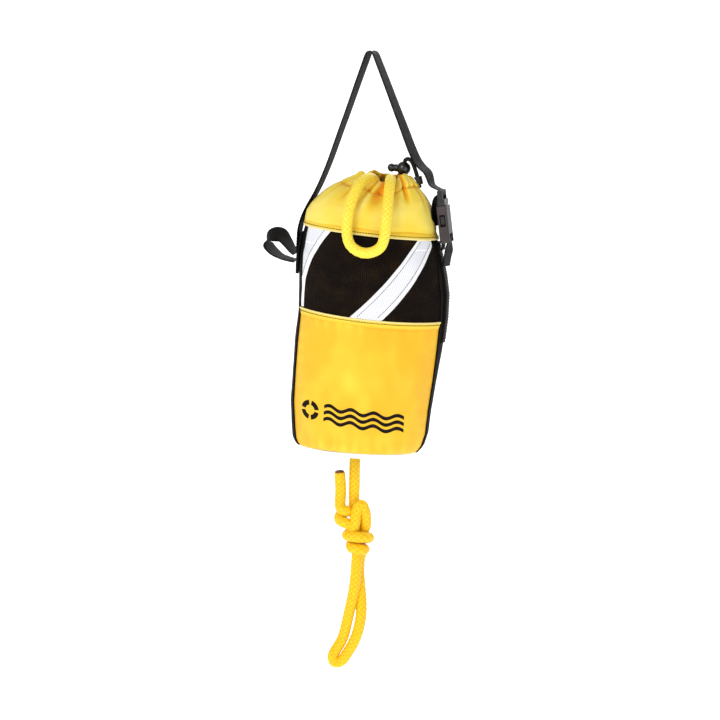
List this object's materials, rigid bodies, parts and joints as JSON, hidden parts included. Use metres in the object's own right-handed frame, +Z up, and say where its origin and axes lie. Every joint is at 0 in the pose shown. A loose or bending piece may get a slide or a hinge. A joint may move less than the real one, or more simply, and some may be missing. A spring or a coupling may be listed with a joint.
{
  "type": "throw rope bag",
  "caption": "Hanging rescue bag of floating rope with gathered mouth, mesh band, hang strap with side-release buckle, grab loop and knotted hand loop.",
  "frame": {"origin": "inside of the hang strap's apex, where a hook or a hand holds the bag", "axes": "+Z up along the hanging bag, -Y the front with the reflective tapes, +X towards the buckle"},
  "size_m": [0.1751, 0.1181, 0.5693],
  "materials": {
    "webbing_black": "woven, faint sheen",
    "buckle_plastic": "satin moulded",
    "cloth_yellow": "coated, soft sheen",
    "mesh_black": "open net",
    "cloth_black": "coated, matte",
    "binding_yellow": "folded tape",
    "tape_reflective": "retroreflective",
    "grommet_brass": "pressed, satin",
    "foam": "closed-cell foam",
    "rope_yellow": "braided, floating",
    "string_black": "braided",
    "eyelet_black": "satin",
    "lock_plastic": "moulded",
    "spring_steel": "wire"
  },
  "bodies": {
    "strap": {"hang_strap": "webbing_black", "buckle_plug": "buckle_plastic"},
    "prong_front": {"plug_prong_front": "buckle_plastic"},
    "prong_rear": {"plug_prong_rear": "buckle_plastic"},
    "socket": {"buckle_socket": "buckle_plastic", "socket_strap": "webbing_black"},
    "bag": {"bag_base": "cloth_black", "lower_panel_front": "cloth_yellow", "lower_panel_back": "cloth_yellow", "mesh_panel_front": "mesh_black", "mesh_panel_back": "mesh_black", "gusset_left": "cloth_black", "gusset_right": "cloth_black", "collar": "cloth_yellow", "mouth_channel": "cloth_yellow", "collar_hem_binding": "binding_yellow", "pocket_hem_front": "binding_yellow", "pocket_hem_back": "binding_yellow", "tape_front_left": "tape_reflective", "tape_front_right": "tape_reflective", "tape_back_left": "tape_reflective", "tape_back_right": "tape_reflective", "side_webbing_left": "webbing_black", "side_webbing_right": "webbing_black", "grommet_outer": "grommet_brass", "grommet_inner": "grommet_brass", "float_disc": "foam", "packed_rope": "rope_yellow", "stopper_knot": "rope_yellow", "rope_stub": "rope_yellow", "mouth_rope": "rope_yellow", "drawstring": "string_black", "drawstring_eyelet": "eyelet_black"},
    "side_loop": {"side_loop": "webbing_black"},
    "cord_lock": {"cord_lock_body": "lock_plastic", "cord_lock_spring": "spring_steel"},
    "lock_plunger": {"cord_lock_plunger": "lock_plastic"},
    "grab_loop": {"grab_loop": "rope_yellow"},
    "hand_loop": {"rope_drop": "rope_yellow", "rope_knot": "rope_yellow", "rope_tail": "rope_yellow", "rope_loop": "rope_yellow"}
  },
  "joints": [
    {"name": "bag_tilt", "type": "hinge", "parent": "strap", "child": "bag", "pos_m": [0.0095, 0, -0.178], "axis": [1, 0, 0], "range_deg": [-25, 25]},
    {"name": "buckle_release", "type": "slide", "parent": "strap", "child": "socket", "axis": [0.1736, 0, -0.9848], "range_m": [0, 0.022], "deforming": ["plug_prong_front", "plug_prong_rear", "socket_strap"]},
    {"name": "prong_front_squeeze", "type": "hinge", "parent": "strap", "child": "prong_front", "pos_m": [0.0743, -0.007, -0.136], "axis": [0.9848, 0, 0.1736], "range_deg": [0, 6], "stiffness_Nm_per_rad": 0.3},
    {"name": "prong_rear_squeeze", "type": "hinge", "parent": "strap", "child": "prong_rear", "pos_m": [0.0743, 0.007, -0.136], "axis": [0.9848, 0, 0.1736], "range_deg": [-6, 0], "stiffness_Nm_per_rad": 0.3},
    {"name": "cord_lock_slide", "type": "slide", "parent": "bag", "child": "cord_lock", "axis": [0, 0, 1], "range_m": [0, 0.006], "deforming": ["drawstring"]},
    {"name": "cord_lock_press", "type": "slide", "parent": "cord_lock", "child": "lock_plunger", "axis": [1, 0, 0], "range_m": [0, 0.0015], "stiffness_N_per_m": 400, "springref_m": -0.001, "deforming": ["cord_lock_spring"]},
    {"name": "side_loop_flap", "type": "hinge", "parent": "bag", "child": "side_loop", "pos_m": [-0.0601, 0, -0.196], "axis": [0, 1, 0], "range_deg": [-35, 25], "stiffness_Nm_per_rad": 0.05},
    {"name": "grab_loop_lift", "type": "hinge", "parent": "bag", "child": "grab_loop", "pos_m": [0.0115, -0.006, -0.1035], "axis": [-1, 0, 0], "range_deg": [0, 100]},
    {"name": "hand_loop_swing", "type": "hinge", "parent": "bag", "child": "hand_loop", "pos_m": [0.0065, 0, -0.381], "axis": [0, 1, 0], "range_deg": [-45, 45]}
  ],
  "couplings": [
    {"joint": "prong_rear_squeeze", "follows": "prong_front_squeeze", "ratio": -1}
  ]
}
